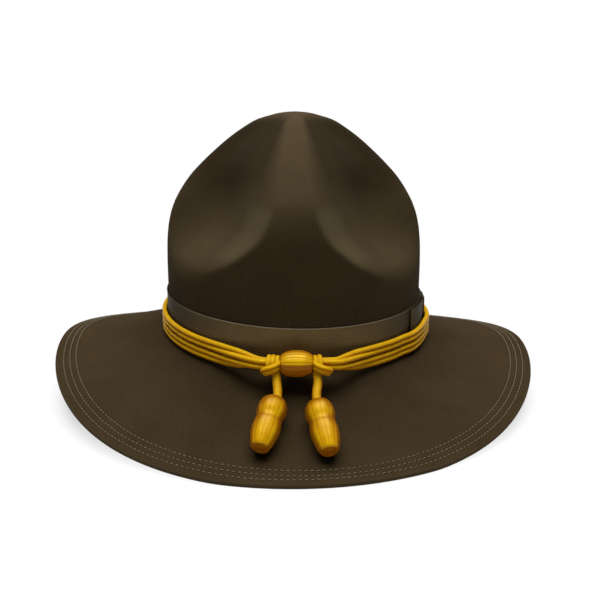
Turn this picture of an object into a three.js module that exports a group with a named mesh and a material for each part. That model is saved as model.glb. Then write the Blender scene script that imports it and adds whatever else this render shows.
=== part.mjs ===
// Campaign hat: a peaked crown with four dents and a broad dipped brim, all one pressed felt,
// with a ribbon, a flat bow, and a gold cord of four strands with a slide, two knots and two acorns.
// Millimetres. +X is the viewer's right, the front faces -Y, +Z is up, and the floor is z = 0.
import * as THREE from 'three';

// Felt
const feltThickness = 2.4;
const crownHalfWidth = 86.4;
const crownHalfLength = 102;
const crownHeight = 145;
const breakDip = 1.4;
const sideLean = -0.033;
const filletRise = 2.8;
const crownLean = 1;
const valleyAngle = 55;
const frontSoftness = 0.06;
const sideSoftness = 0.2;

// Brim: its width along the felt, and its slope below level where it starts and at its edge
const brimFrontWidth = 83.5;
const brimSideWidth = 76;
const frontSlopeStart = 41;
const frontSlopeEdge = 10;
const sideSlopeStart = 9;
const sideSlopeEdge = 5.5;
const frontReach = 0.72;
const cornerDrop = 4.7;
const edgeStripWidth = 6;
const restFlattening = 1.6;

// Ribbon and bow
const ribbonGap = 0.3;
const ribbonThickness = 0.8;
const ribbonBottom = 3.2;
const ribbonTop = 26.6;
const bowGap = 0.3;
const bowThickness = 1.6;
const bowFrontAngle = 58;
const bowBackAngle = 114;
const bowBottom = 4;
const bowTop = 25.8;
const bowWaistHeight = 18;
const keeperGap = 0.3;
const keeperThickness = 0.9;
const keeperWidth = 12;

// Cord: four strands that lie in two pairs round the crown and run tight together at the front
const strandDiameter = 2.8;
const strandGap = 0.35;
const strandSides = 8;
const pairGap = 0.8;
const frontStandOff = 9.3;
const frontHeight = 7;
const slideOffset = 1.5;
const frontHalfRun = 20;
const frontAngle = 13;
const firstRingAngle = 17;
const offsetFadeAngle = 12;
const cordFrontOut = 12.1;
const cordSideOut = 3.2;
const cordFrontUp = 8.2;
const cordSideUp = 6.8;
const strandRings = 40;

// Slide, knots, drops and acorns
const slideLength = 18.6;
const slideRadius = 7.8;
const slideEndRadius = 5.4;
const boreRadius = 4.1;
const partGap = 0.3;
const knotWidth = 10.4;
const knotRadius = 6.1;
const knotEndRadius = 5;
const dropDiameter = 5.2;
const dropBend = 0.9;
const acornRadius = 8;
const acornLength = 34;
const acornTopLift = 8.6;
const acornEndLift = 7;
const turnedSides = 16;

const columns = 64;
const strandPitch = strandDiameter + strandGap;
const ribbonFace = ribbonGap + ribbonThickness;
const bowFace = ribbonFace + bowGap + bowThickness;
const keeperFace = bowFace + keeperGap + keeperThickness;
const frontRun = -crownHalfLength - frontStandOff;

// Level sections of the crown. Height is a share of crownHeight, side and front are the ridges'
// shares of the half axes, and valley is the share along the deepest line of each dent.
const crownSections = [
  { height: 0.18, side: 1, front: 1, valley: 1 },
  { height: 0.26, side: 1, front: 1, valley: 1 },
  { height: 0.31, side: 1, front: 1, valley: 0.998 },
  { height: 0.36, side: 0.998, front: 0.999, valley: 0.965 },
  { height: 0.41, side: 0.995, front: 0.997, valley: 0.87 },
  { height: 0.47, side: 0.986, front: 0.992, valley: 0.745 },
  { height: 0.53, side: 0.967, front: 0.983, valley: 0.66 },
  { height: 0.59, side: 0.932, front: 0.966, valley: 0.61 },
  { height: 0.65, side: 0.878, front: 0.925, valley: 0.58 },
  { height: 0.71, side: 0.808, front: 0.845, valley: 0.555 },
  { height: 0.77, side: 0.715, front: 0.74, valley: 0.52 },
  { height: 0.83, side: 0.608, front: 0.62, valley: 0.445 },
  { height: 0.885, side: 0.499, front: 0.505, valley: 0.345 },
  { height: 0.93, side: 0.392, front: 0.395, valley: 0.26 },
  { height: 0.965, side: 0.29, front: 0.29, valley: 0.19 },
  { height: 0.99, side: 0.15, front: 0.15, valley: 0.12 },
];

// How each dent starts, by height: the degrees beside the front or back ridge and beside the side
// ridge that stay undented, and how fast the dent deepens from there, where 1 is straight.
const dentFlanks = [
  { height: 0.18, frontFlat: 42, frontFullness: 1.6, sideFlat: 12, sideFullness: 1.8 },
  { height: 0.26, frontFlat: 42, frontFullness: 1.6, sideFlat: 12, sideFullness: 1.8 },
  { height: 0.31, frontFlat: 41, frontFullness: 1.6, sideFlat: 12, sideFullness: 1.8 },
  { height: 0.36, frontFlat: 36, frontFullness: 1.6, sideFlat: 11, sideFullness: 1.8 },
  { height: 0.41, frontFlat: 26.5, frontFullness: 1.6, sideFlat: 9, sideFullness: 1.9 },
  { height: 0.47, frontFlat: 18.5, frontFullness: 1.6, sideFlat: 7, sideFullness: 2 },
  { height: 0.53, frontFlat: 12.5, frontFullness: 1.7, sideFlat: 6, sideFullness: 2.2 },
  { height: 0.59, frontFlat: 9.5, frontFullness: 1.8, sideFlat: 6, sideFullness: 2.5 },
  { height: 0.65, frontFlat: 8, frontFullness: 2, sideFlat: 6, sideFullness: 2.8 },
  { height: 0.71, frontFlat: 7.5, frontFullness: 2.2, sideFlat: 6.5, sideFullness: 3 },
  { height: 0.77, frontFlat: 7.5, frontFullness: 2.4, sideFlat: 7, sideFullness: 3.2 },
  { height: 0.83, frontFlat: 8, frontFullness: 2.6, sideFlat: 7.5, sideFullness: 3.4 },
  { height: 0.885, frontFlat: 9, frontFullness: 2.8, sideFlat: 8, sideFullness: 3.4 },
  { height: 0.93, frontFlat: 9, frontFullness: 2.8, sideFlat: 8, sideFullness: 3 },
  { height: 0.965, frontFlat: 6, frontFullness: 2.5, sideFlat: 6, sideFullness: 2.5 },
  { height: 0.99, frontFlat: 2, frontFullness: 2, sideFlat: 2, sideFullness: 2 },
];

// The cord's way round the crown, as degrees from the front. Out and up are 1 at the knots and 0
// along the sides, and spread is 0 where the strands are tight in two by two and 1 where they lie
// one above another.
const cordRoute = [
  { angle: 13, out: 1, up: 1, spread: 0 },
  { angle: 17, out: 0.685, up: 0.64, spread: 0.3 },
  { angle: 22, out: 0.382, up: 0.29, spread: 0.65 },
  { angle: 29, out: 0.112, up: 0.07, spread: 0.9 },
  { angle: 37, out: 0, up: 0, spread: 1 },
  { angle: 180, out: 0, up: 0, spread: 1 },
];

// The four strands: which pair each is in, and whether it is that pair's outer one at the front
const strands = [
  { name: 'cord_strand_top', pair: 1, outer: -1 },
  { name: 'cord_strand_upper', pair: 1, outer: 1 },
  { name: 'cord_strand_lower', pair: -1, outer: 1 },
  { name: 'cord_strand_bottom', pair: -1, outer: -1 },
];

// Where each drop leaves its knot, as a share of slideLength from the slide's middle, and where
// its acorn's ends lie as degrees from the front and shares of brimFrontWidth down the brim
const drops = [
  { side: 'left', knot: -0.64, topAngle: -5.3, endAngle: -7, top: 0.309, end: 0.725 },
  { side: 'right', knot: 0.613, topAngle: 6.3, endAngle: 7, top: 0.331, end: 0.743 },
];

// Half outline of an acorn: along is a share of its length and radius a share of acornRadius, which
// is its belly's
const acornProfile = [
  { along: 0.0, radius: 0.55 },
  { along: 0.06, radius: 0.86 },
  { along: 0.14, radius: 1.0 },
  { along: 0.24, radius: 1.05 },
  { along: 0.33, radius: 0.99 },
  { along: 0.42, radius: 0.9 },
  { along: 0.5, radius: 0.955 },
  { along: 0.62, radius: 1.0 },
  { along: 0.78, radius: 0.915 },
  { along: 0.93, radius: 0.74 },
  { along: 1.0, radius: 0.6 },
];

// Colours
const feltMaterial = new THREE.MeshStandardMaterial({ color: 0x3e3222, roughness: 0.95, metalness: 0 });
const ribbonMaterial = new THREE.MeshStandardMaterial({ color: 0x4a3b27, roughness: 0.8, metalness: 0 });
const cordMaterial = new THREE.MeshStandardMaterial({ color: 0xd5ab1e, roughness: 0.45, metalness: 0 });

// Curves and the oval

const radians = (degrees) => (degrees * Math.PI) / 180;
const inDegrees = (angle) => (angle * 180) / Math.PI;

// Smooth interpolation of one column of a table, without overshoot
function readTable(rows, key, column, value) {
  const last = rows.length - 1;
  if (value <= rows[0][key]) return rows[0][column];
  if (value >= rows[last][key]) return rows[last][column];
  const slope = (i) => (rows[i + 1][column] - rows[i][column]) / (rows[i + 1][key] - rows[i][key]);
  const tangent = (i) => {
    if (i === 0) return slope(0);
    if (i === last) return slope(last - 1);
    const before = slope(i - 1);
    const after = slope(i);
    return before * after <= 0 ? 0 : (2 * before * after) / (before + after);
  };
  const i = rows.findIndex((row, n) => n < last && value < rows[n + 1][key]);
  const span = rows[i + 1][key] - rows[i][key];
  const t = (value - rows[i][key]) / span;
  const start = rows[i][column] * (1 + 2 * t) * (1 - t) * (1 - t);
  const end = rows[i + 1][column] * t * t * (3 - 2 * t);
  return start + end + span * (tangent(i) * t * (1 - t) * (1 - t) + tangent(i + 1) * t * t * (t - 1));
}

// Angles run from the front, positive to the viewer's right
function ovalPoint(angle) {
  return new THREE.Vector2(crownHalfWidth * Math.sin(angle), -crownHalfLength * Math.cos(angle));
}

function ovalNormal(angle) {
  return new THREE.Vector2(Math.sin(angle) / crownHalfWidth, -Math.cos(angle) / crownHalfLength).normalize();
}

// Level of the break, where crown and brim meet, before the hat is lifted onto the floor
function breakLevel(angle) {
  return -breakDip * Math.cos(angle) ** 2 + sideLean * crownHalfWidth * Math.sin(angle);
}

// Brim

// 1 at the front and back, 0 at the sides
function frontShareAt(angle) {
  return Math.abs(ovalNormal(angle).y) ** (2 * frontReach);
}

function brimWidth(angle) {
  const frontShare = frontShareAt(angle);
  return brimFrontWidth * frontShare + brimSideWidth * (1 - frontShare);
}

// Plan distance from the crown and drop below the break, at a distance along the felt
function brimProfile(angle, distance) {
  const frontShare = frontShareAt(angle);
  const start = radians(frontSlopeStart * frontShare + sideSlopeStart * (1 - frontShare));
  const edge = radians(frontSlopeEdge * frontShare + sideSlopeEdge * (1 - frontShare));
  const steps = 24;
  let out = 0;
  let drop = 0;
  for (let i = 0; i < steps; i += 1) {
    const along = ((i + 0.5) / steps) * distance;
    const slope = start + ((edge - start) * along) / brimWidth(angle);
    out += (Math.cos(slope) * distance) / steps;
    drop += (Math.sin(slope) * distance) / steps;
  }
  const corner = (cornerDrop * (1 - Math.cos(4 * angle)) * out) / (2 * brimSideWidth);
  return { out, drop: drop + corner };
}

// Upper face of the brim
function brimPoint(angle, distance) {
  const { out, drop } = brimProfile(angle, distance);
  const plan = ovalPoint(angle).addScaledVector(ovalNormal(angle), out);
  return new THREE.Vector3(plan.x, plan.y, breakLevel(angle) - drop);
}

// The lowest parts of the brim settle flat on the floor, so all heights are measured from there
const lowestEdge = brimPoint(0, brimFrontWidth).z;
const restLevel = lowestEdge + restFlattening;
const floorLift = feltThickness - restLevel;

function lifted(point) {
  return new THREE.Vector3(point.x, point.y, Math.max(point.z + floorLift, feltThickness));
}

// Crown

// 0 on the ridges and 1 on the deepest line of a dent, whose front edge is a crease
function dentShare(angle, height) {
  const fromFront = inDegrees(Math.asin(Math.min(1, Math.abs(Math.sin(angle)))));
  const bySide = fromFront > valleyAngle;
  const fromRidge = bySide ? 90 - fromFront : fromFront;
  const reach = bySide ? 90 - valleyAngle : valleyAngle;
  const flat = readTable(dentFlanks, 'height', bySide ? 'sideFlat' : 'frontFlat', height);
  const fullness = readTable(dentFlanks, 'height', bySide ? 'sideFullness' : 'frontFullness', height);
  const softness = bySide ? sideSoftness : frontSoftness;
  const into = Math.min(1, Math.max(0, (fromRidge - flat) / (reach - flat)));
  const eased = (into ** 2 * (1 + softness)) / (into + softness);
  return 1 - (1 - eased) ** fullness;
}

function crownPoint(angle, height) {
  const side = readTable(crownSections, 'height', 'side', height);
  const front = readTable(crownSections, 'height', 'front', height);
  const valley = readTable(crownSections, 'height', 'valley', height);
  const ridge = side * Math.sin(angle) ** 2 + front * Math.cos(angle) ** 2;
  const plan = ovalPoint(angle).multiplyScalar(ridge - (ridge - valley) * dentShare(angle, height));
  const level = height * crownHeight + breakLevel(angle) * (1 - height);
  return new THREE.Vector3(plan.x + crownLean * height ** 2, plan.y, level);
}

// Small curve between the crown's wall and the brim
function filletPoint(angle, t) {
  const wall = ovalPoint(angle);
  const corner = new THREE.Vector3(wall.x, wall.y, breakLevel(angle));
  const top = corner.clone().setZ(corner.z + filletRise);
  const foot = brimPoint(angle, filletRise);
  const point = top.multiplyScalar((1 - t) ** 2);
  return point.addScaledVector(corner, 2 * t * (1 - t)).addScaledVector(foot, t * t);
}

// Meshes from a grid of points

// Each ring of points joins the next. With poles, a point closes each end, and without them the
// last ring joins the first.
function ringGeometry(rings, startPole, endPole) {
  const count = rings[0].length;
  const points = rings.flat();
  const faces = [];
  const closed = startPole === undefined;
  const joins = closed ? rings.length : rings.length - 1;
  for (let i = 0; i < joins; i += 1) {
    const here = i * count;
    const next = ((i + 1) % rings.length) * count;
    for (let j = 0; j < count; j += 1) {
      const k = (j + 1) % count;
      faces.push([here + j, next + j, next + k], [here + j, next + k, here + k]);
    }
  }
  if (!closed) {
    const start = points.length;
    const lastRing = (rings.length - 1) * count;
    points.push(startPole, endPole);
    for (let j = 0; j < count; j += 1) {
      const k = (j + 1) % count;
      faces.push([start, j, k], [start + 1, lastRing + k, lastRing + j]);
    }
  }
  const geometry = new THREE.BufferGeometry();
  const coordinates = points.flatMap((p) => [p.x, p.y, p.z]);
  geometry.setAttribute('position', new THREE.Float32BufferAttribute(coordinates, 3));
  geometry.setIndex(faces.flat());
  geometry.computeVertexNormals();
  return geometry;
}

function ringAngles(count) {
  return Array.from({ length: count }, (_, i) => (i * 2 * Math.PI) / count);
}

// Felt body

function feltOuterRings() {
  const angles = ringAngles(columns);
  const heights = crownSections.map((row) => row.height).reverse();
  const crown = heights.map((height) => angles.map((angle) => crownPoint(angle, height)));
  const fillet = [0, 0.5, 1].map((t) => angles.map((angle) => filletPoint(angle, t)));
  const shares = [0.13, 0.27, 0.41, 0.55, 0.69, 0.82];
  const brim = shares.map((share) => angles.map((angle) => brimPoint(angle, share * brimWidth(angle))));
  const strip = angles.map((angle) => brimPoint(angle, brimWidth(angle) - edgeStripWidth));
  const edge = angles.map((angle) => brimPoint(angle, brimWidth(angle)));
  return [...crown, ...fillet, ...brim, strip, edge].map((ring) => ring.map(lifted));
}

// The inner face, one felt thickness from the outer one
function feltInnerRings(outer) {
  const last = outer.length - 1;
  return outer.map((ring, i) => ring.map((point, j) => {
    if (point.z <= feltThickness) return new THREE.Vector3(point.x, point.y, 0);
    const around = ring[(j + 1) % columns].clone().sub(ring[(j + columns - 1) % columns]);
    const above = outer[Math.max(i - 1, 0)][j];
    const below = outer[Math.min(i + 1, last)][j];
    const normal = below.clone().sub(above).cross(around).normalize();
    const inner = point.clone().addScaledVector(normal, -feltThickness);
    inner.z = Math.max(inner.z, 0);
    return inner;
  }));
}

function feltBody() {
  const outer = feltOuterRings();
  const inner = feltInnerRings(outer);
  const top = new THREE.Vector3(crownLean, 0, crownHeight + floorLift);
  const underTop = new THREE.Vector3(crownLean, 0, crownHeight + floorLift - feltThickness);
  return ringGeometry([...outer, ...inner.reverse()], top, underTop);
}

// A band that follows the crown's wall between two angles, or all round

function wallPoint(angle, out, up) {
  const plan = ovalPoint(angle).addScaledVector(ovalNormal(angle), out);
  return new THREE.Vector3(plan.x, plan.y, breakLevel(angle) * (1 - up / crownHeight) + up + floorLift);
}

function ribbon() {
  const corners = [
    [ribbonGap, ribbonTop],
    [ribbonFace, ribbonTop],
    [ribbonFace, ribbonBottom],
    [ribbonGap, ribbonBottom],
  ];
  const rings = corners.map(([out, up]) => ringAngles(columns).map((angle) => wallPoint(angle, out, up)));
  return ringGeometry(rings);
}

// A closed strip whose section is a list of corners at each station
function stripGeometry(sections) {
  const middle = (section) => {
    const sum = section.reduce((total, point) => total.add(point), new THREE.Vector3());
    return sum.divideScalar(section.length);
  };
  return ringGeometry(sections, middle(sections[0]), middle(sections[sections.length - 1]));
}

function bowMiddleAngle() {
  return radians((bowFrontAngle + bowBackAngle) / 2);
}

// Two flat loops, narrowest where the keeper holds them
function bow() {
  const steps = 12;
  const middleUp = (bowBottom + bowTop) / 2;
  const sections = Array.from({ length: steps + 1 }, (_, i) => {
    const share = i / steps;
    const angle = radians(bowFrontAngle + (bowBackAngle - bowFrontAngle) * share);
    const fromMiddle = Math.min(1, Math.abs(share - 0.5) * 4);
    const half = (bowWaistHeight + (bowTop - bowBottom - bowWaistHeight) * fromMiddle) / 2;
    const inner = ribbonFace + bowGap;
    return [[inner, -half], [bowFace, -half], [bowFace, half], [inner, half]]
      .map(([out, up]) => wallPoint(angle, out, middleUp + up));
  });
  return stripGeometry(sections);
}

// A short ribbon loop over the middle of the bow
function bowKeeper() {
  const steps = 4;
  const halfAngle = keeperWidth / 2 / crownHalfLength;
  const inner = bowFace + keeperGap;
  const middleUp = (bowBottom + bowTop) / 2;
  const half = bowWaistHeight / 2;
  const sections = Array.from({ length: steps + 1 }, (_, i) => {
    const angle = bowMiddleAngle() + halfAngle * ((2 * i) / steps - 1);
    return [[inner, -half], [keeperFace, -half], [keeperFace, half], [inner, half]]
      .map(([out, up]) => wallPoint(angle, out, middleUp + up));
  });
  return stripGeometry(sections);
}

// Cord

const frontZ = frontHeight + floorLift;

// How far the cord is pushed out to pass over the bow and its keeper, at degrees from the front
const bowBump = [
  { angle: bowFrontAngle - 9, out: 0 },
  { angle: bowFrontAngle - 1, out: bowFace - ribbonFace },
  { angle: bowFrontAngle + 14, out: bowFace - ribbonFace },
  { angle: (bowFrontAngle + bowBackAngle) / 2 - 6, out: keeperFace - ribbonFace },
  { angle: (bowFrontAngle + bowBackAngle) / 2 + 6, out: keeperFace - ribbonFace },
  { angle: bowBackAngle - 14, out: bowFace - ribbonFace },
  { angle: bowBackAngle + 1, out: bowFace - ribbonFace },
  { angle: bowBackAngle + 9, out: 0 },
];

// Middle of the bundle at signed degrees from the front, with its outward direction and spread
function cordStation(degrees) {
  if (Math.abs(degrees) <= frontAngle) {
    const x = slideOffset + (frontHalfRun * degrees) / frontAngle;
    const straight = new THREE.Vector3(x, frontRun, frontZ);
    return { middle: straight, outward: new THREE.Vector3(0, -1, 0), spread: 0 };
  }
  const angle = radians(degrees);
  const away = Math.abs(degrees);
  const bump = readTable(bowBump, 'angle', 'out', degrees);
  const out = cordSideOut + (cordFrontOut - cordSideOut) * readTable(cordRoute, 'angle', 'out', away) + bump;
  const up = cordSideUp + (cordFrontUp - cordSideUp) * readTable(cordRoute, 'angle', 'up', away);
  const spread = readTable(cordRoute, 'angle', 'spread', away);
  const middle = wallPoint(angle, out, up);
  middle.x += slideOffset * Math.max(0, 1 - (away - frontAngle) / offsetFadeAngle);
  const normal = ovalNormal(angle);
  return { middle, outward: new THREE.Vector3(normal.x, normal.y, 0), spread };
}

// A pair's strands lie side by side at the front and turn to lie one above the other
function strandMiddle(strand, degrees) {
  const { middle, outward, spread } = cordStation(degrees);
  const turn = (spread * Math.PI) / 2;
  const tight = strandPitch / 2;
  const pairUp = strand.pair * (tight + Math.sin(turn) * (tight + pairGap / 2));
  const out = strand.outer * tight * Math.cos(turn);
  const up = pairUp - strand.pair * strand.outer * tight * Math.sin(turn);
  return middle.addScaledVector(outward, out).add(new THREE.Vector3(0, 0, up));
}

function strandStations() {
  const stations = [-frontAngle, frontAngle];
  const step = (360 - 2 * firstRingAngle) / (strandRings - 1);
  for (let i = 0; i < strandRings; i += 1) {
    const degrees = firstRingAngle + i * step;
    stations.push(degrees > 180 ? degrees - 360 : degrees);
  }
  return stations;
}

// Rings of points round a path of middles, for a closed loop or an open run
function tubeRings(middles, radius, sides, loop) {
  const count = middles.length;
  return middles.map((middle, i) => {
    const before = loop ? middles[(i + count - 1) % count] : middles[Math.max(i - 1, 0)];
    const after = loop ? middles[(i + 1) % count] : middles[Math.min(i + 1, count - 1)];
    const along = after.clone().sub(before).normalize();
    const across = along.clone().cross(new THREE.Vector3(0, 0, 1)).normalize();
    const upward = across.clone().cross(along);
    return Array.from({ length: sides }, (_, j) => {
      const turn = (j * 2 * Math.PI) / sides;
      return middle.clone()
        .addScaledVector(across, radius * Math.cos(turn))
        .addScaledVector(upward, radius * Math.sin(turn));
    });
  });
}

function strandGeometry(strand) {
  const middles = strandStations().map((degrees) => strandMiddle(strand, degrees));
  return ringGeometry(tubeRings(middles, strandDiameter / 2, strandSides, true));
}

// Turned pieces

// A ring turned about the X axis with a bore through it
function boredTurning(length, middleRadius, endRadius) {
  const half = length / 2;
  const steps = 6;
  const outline = Array.from({ length: steps + 1 }, (_, i) => {
    const t = (2 * i) / steps - 1;
    return new THREE.Vector2(endRadius + (middleRadius - endRadius) * (1 - t * t), t * half);
  });
  const bore = [new THREE.Vector2(boreRadius, half), new THREE.Vector2(boreRadius, -half)];
  const geometry = new THREE.LatheGeometry([...outline, ...bore, outline[0]], turnedSides);
  geometry.rotateZ(-Math.PI / 2);
  return geometry;
}

// Point a given height above the brim's upper face, along the face's normal
function aboveBrim(degrees, distance, height) {
  const angle = radians(degrees);
  const point = brimPoint(angle, distance);
  const alongFelt = brimPoint(angle, distance + 1).sub(brimPoint(angle, distance - 1));
  const aroundFelt = brimPoint(angle + 0.01, distance).sub(brimPoint(angle - 0.01, distance));
  const normal = alongFelt.cross(aroundFelt).normalize();
  return lifted(point).addScaledVector(normal, height);
}

function acornEnds(drop) {
  const top = aboveBrim(drop.topAngle, drop.top * brimFrontWidth, acornTopLift);
  const end = aboveBrim(drop.endAngle, drop.end * brimFrontWidth, acornEndLift);
  const along = end.clone().sub(top).normalize();
  return { top, along };
}

function acornGeometry() {
  const outline = acornProfile.map(
    (row) => new THREE.Vector2(row.radius * acornRadius, -row.along * acornLength),
  );
  const start = new THREE.Vector2(0, 0);
  const end = new THREE.Vector2(0, -acornLength);
  return new THREE.LatheGeometry([end, ...outline.reverse(), start], turnedSides - 2);
}

// A drop leaves its knot straight down and bends outwards to its acorn
function dropGeometry(drop) {
  const { top, along } = acornEnds(drop);
  const knotX = slideOffset + drop.knot * slideLength;
  const knotBottom = new THREE.Vector3(knotX, frontRun, frontZ - knotRadius - partGap);
  const acornTop = top.clone().addScaledVector(along, -3 * partGap);
  const upper = knotBottom.clone().add(new THREE.Vector3(0, -dropBend, -dropDiameter / 2));
  const lower = acornTop.clone().addScaledVector(along, -dropDiameter);
  const curve = new THREE.CatmullRomCurve3([knotBottom, upper, lower, acornTop]);
  return stripGeometry(tubeRings(curve.getPoints(6), dropDiameter / 2, strandSides, false));
}

// Assembly

const hat = new THREE.Group();

function addPiece(name, geometry, material) {
  const mesh = new THREE.Mesh(geometry, material);
  mesh.name = name;
  hat.add(mesh);
  return mesh;
}

addPiece('felt_body', feltBody(), feltMaterial);
addPiece('ribbon', ribbon(), ribbonMaterial);
addPiece('ribbon_bow', bow(), ribbonMaterial);
addPiece('ribbon_bow_keeper', bowKeeper(), ribbonMaterial);
strands.forEach((strand) => addPiece(strand.name, strandGeometry(strand), cordMaterial));

const slideGeometry = boredTurning(slideLength, slideRadius, slideEndRadius);
const slide = addPiece('cord_slide', slideGeometry, cordMaterial);
slide.position.set(slideOffset, frontRun, frontZ);

drops.forEach((drop) => {
  const direction = drop.side === 'left' ? -1 : 1;
  const knotGeometry = boredTurning(knotWidth, knotRadius, knotEndRadius);
  const knot = addPiece(`knot_${drop.side}`, knotGeometry, cordMaterial);
  const fromSlide = slideLength / 2 + partGap + knotWidth / 2;
  knot.position.set(slideOffset + direction * fromSlide, frontRun, frontZ);
  addPiece(`drop_${drop.side}`, dropGeometry(drop), cordMaterial);
  const acorn = addPiece(`acorn_${drop.side}`, acornGeometry(), cordMaterial);
  const { top, along } = acornEnds(drop);
  acorn.position.copy(top);
  acorn.quaternion.setFromUnitVectors(new THREE.Vector3(0, -1, 0), along);
});

export default hat;
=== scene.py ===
import math

import bpy
import numpy as np
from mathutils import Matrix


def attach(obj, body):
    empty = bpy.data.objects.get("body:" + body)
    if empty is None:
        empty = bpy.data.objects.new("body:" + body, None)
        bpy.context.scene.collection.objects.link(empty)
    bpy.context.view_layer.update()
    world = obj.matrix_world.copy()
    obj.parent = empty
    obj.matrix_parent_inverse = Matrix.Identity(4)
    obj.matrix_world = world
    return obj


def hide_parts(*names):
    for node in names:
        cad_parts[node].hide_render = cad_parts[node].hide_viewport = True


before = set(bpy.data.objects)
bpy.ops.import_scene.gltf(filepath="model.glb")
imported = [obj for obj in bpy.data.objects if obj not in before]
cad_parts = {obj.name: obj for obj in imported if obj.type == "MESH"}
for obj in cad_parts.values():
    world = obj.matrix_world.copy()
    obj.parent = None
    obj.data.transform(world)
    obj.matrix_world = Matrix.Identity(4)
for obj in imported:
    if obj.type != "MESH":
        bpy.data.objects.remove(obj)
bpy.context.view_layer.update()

MM = 0.001
SEWING_DISTANCE = 0.000002
UP = np.array([0.0, 0.0, 1.0])
ALONG_X = np.array([1.0, 0.0, 0.0])
ALONG_Y = np.array([0.0, 1.0, 0.0])
NEARLY_X = ALONG_X + 0.001

# Felt
FELT_THICKNESS = 2.4
CROWN_HALF_WIDTH = 86.4
CROWN_HALF_LENGTH = 102.0
CROWN_HEIGHT = 145.0
BREAK_DIP = 1.4
SIDE_LEAN = -0.033
FILLET_RISE = 2.8
FRONT_SOFTNESS = 0.06
SIDE_SOFTNESS = 0.2
VALLEY_ANGLE = 55
CROWN_LEAN = 1.0
BRIM_FRONT_WIDTH = 83.5
BRIM_SIDE_WIDTH = 76.0
FRONT_SLOPE_START = 41.0
FRONT_SLOPE_EDGE = 10.0
SIDE_SLOPE_START = 9.0
SIDE_SLOPE_EDGE = 5.5
FRONT_REACH = 0.72
CORNER_DROP = 4.7
REST_FLATTENING = 1.6
EDGE_ROUNDING = 0.7

# Ribbon and bow
RIBBON_GAP = 0.3
RIBBON_THICKNESS = 0.8
RIBBON_BOTTOM = 3.2
RIBBON_TOP = 26.6
SELVEDGE = 0.14
SELVEDGE_WIDTH = 1.1
SELVEDGE_RISE = 0.5
RIBBON_ROUNDING = 0.25
BOW_GAP = 0.3
BOW_THICKNESS = 1.6
BOW_PLY = 0.5
BOW_FRONT_ANGLE = 58.0
BOW_BACK_ANGLE = 114.0
BOW_BOTTOM = 4.0
BOW_TOP = 25.8
BOW_WAIST_HEIGHT = 18.0
BOW_GATHER = 0.22
BOW_GATHERS = 3.5
BOW_FOLD_REACH = 0.006
KEEPER_GAP = 0.3
KEEPER_THICKNESS = 0.9
KEEPER_WIDTH = 12.0
KEEPER_PLY = 0.6

# Cord, slide, knots, drops and acorns
STRAND_DIAMETER = 2.8
STRAND_LOOSENESS = 0.38
STRAND_GAP = 0.35
PAIR_GAP = 0.8
FRONT_RUN = -111.3
FRONT_HEIGHT = 7.0
SLIDE_OFFSET = 1.5
FRONT_HALF_RUN = 20.0
FRONT_ANGLE = 13.0
OFFSET_FADE = 12.0
SLIDE_LENGTH = 18.6
SLIDE_RADIUS = 7.8
SLIDE_END_RADIUS = 5.4
SLIDE_FULLNESS = 2.6
SLIDE_LIP = 0.5
BORE_RADIUS = 4.1
PART_GAP = 0.3
KNOT_WIDTH = 10.4
KNOT_RADIUS = 6.1
KNOT_STRAND = 3.0
TURN_PITCH = 2.45
TURN_FLATNESS = 0.96
DROP_DIAMETER = 5.2
ACORN_RADIUS = 8.0
ACORN_LENGTH = 34.0
ACORN_TOP_LIFT = 8.6
ACORN_END_LIFT = 7.0

# Stitches round the brim
STITCH_INSETS = (5.4, 9.4, 13.4)
STITCH_PITCH = 3.2
STITCH_LENGTH = 2.1
THREAD_RADIUS = 0.325
UNDER_STITCH_LIFT = 0.1
RESTING_BELOW = 1.2

STRAND_PITCH = STRAND_DIAMETER + STRAND_GAP
RIBBON_FACE = RIBBON_GAP + RIBBON_THICKNESS
BOW_FACE = RIBBON_FACE + BOW_GAP + BOW_THICKNESS

# Level sections of the crown. Height is a share of the crown's, side and front are the ridges'
# shares of the half axes, and valley is the share at the middle of each dent. The flats are how
# many degrees to each side of a ridge stay undented, and fullness is how fast a dent deepens.
CROWN_SECTIONS = {
    "height": [0.18, 0.26, 0.31, 0.36, 0.41, 0.47, 0.53, 0.59,
               0.65, 0.71, 0.77, 0.83, 0.885, 0.93, 0.965, 0.99],
    "side": [1, 1, 1, 0.998, 0.995, 0.986, 0.967, 0.932,
             0.878, 0.808, 0.715, 0.608, 0.499, 0.392, 0.29, 0.15],
    "front": [1, 1, 1, 0.999, 0.997, 0.992, 0.983, 0.966,
              0.925, 0.845, 0.74, 0.62, 0.505, 0.395, 0.29, 0.15],
    "valley": [1, 1, 0.998, 0.965, 0.87, 0.745, 0.66, 0.61,
               0.58, 0.555, 0.52, 0.445, 0.345, 0.26, 0.19, 0.12],
    "front_flat": [42, 42, 41, 36, 26.5, 18.5, 12.5, 9.5, 8, 7.5, 7.5, 8, 9, 9, 6, 2],
    "side_flat": [12, 12, 12, 11, 9, 7, 6, 6, 6, 6.5, 7, 7.5, 8, 8, 6, 2],
    "front_fullness": [1.6, 1.6, 1.6, 1.6, 1.6, 1.6, 1.7, 1.8,
                       2.0, 2.2, 2.4, 2.6, 2.8, 2.8, 2.5, 2.0],
    "side_fullness": [1.8, 1.8, 1.8, 1.8, 1.9, 2.0, 2.2, 2.5,
                      2.8, 3.0, 3.2, 3.4, 3.4, 3.0, 2.5, 2.0],
}

# The cord's way round the crown, by degrees from the front
CORD_ROUTE = {
    "angle": [13, 17, 22, 29, 37, 180],
    "out": [12.1, 9.3, 6.6, 4.2, 3.2, 3.2],
    "up": [8.2, 7.7, 7.2, 6.9, 6.8, 6.8],
    "spread": [0, 0.3, 0.65, 0.9, 1, 1],
}

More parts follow.
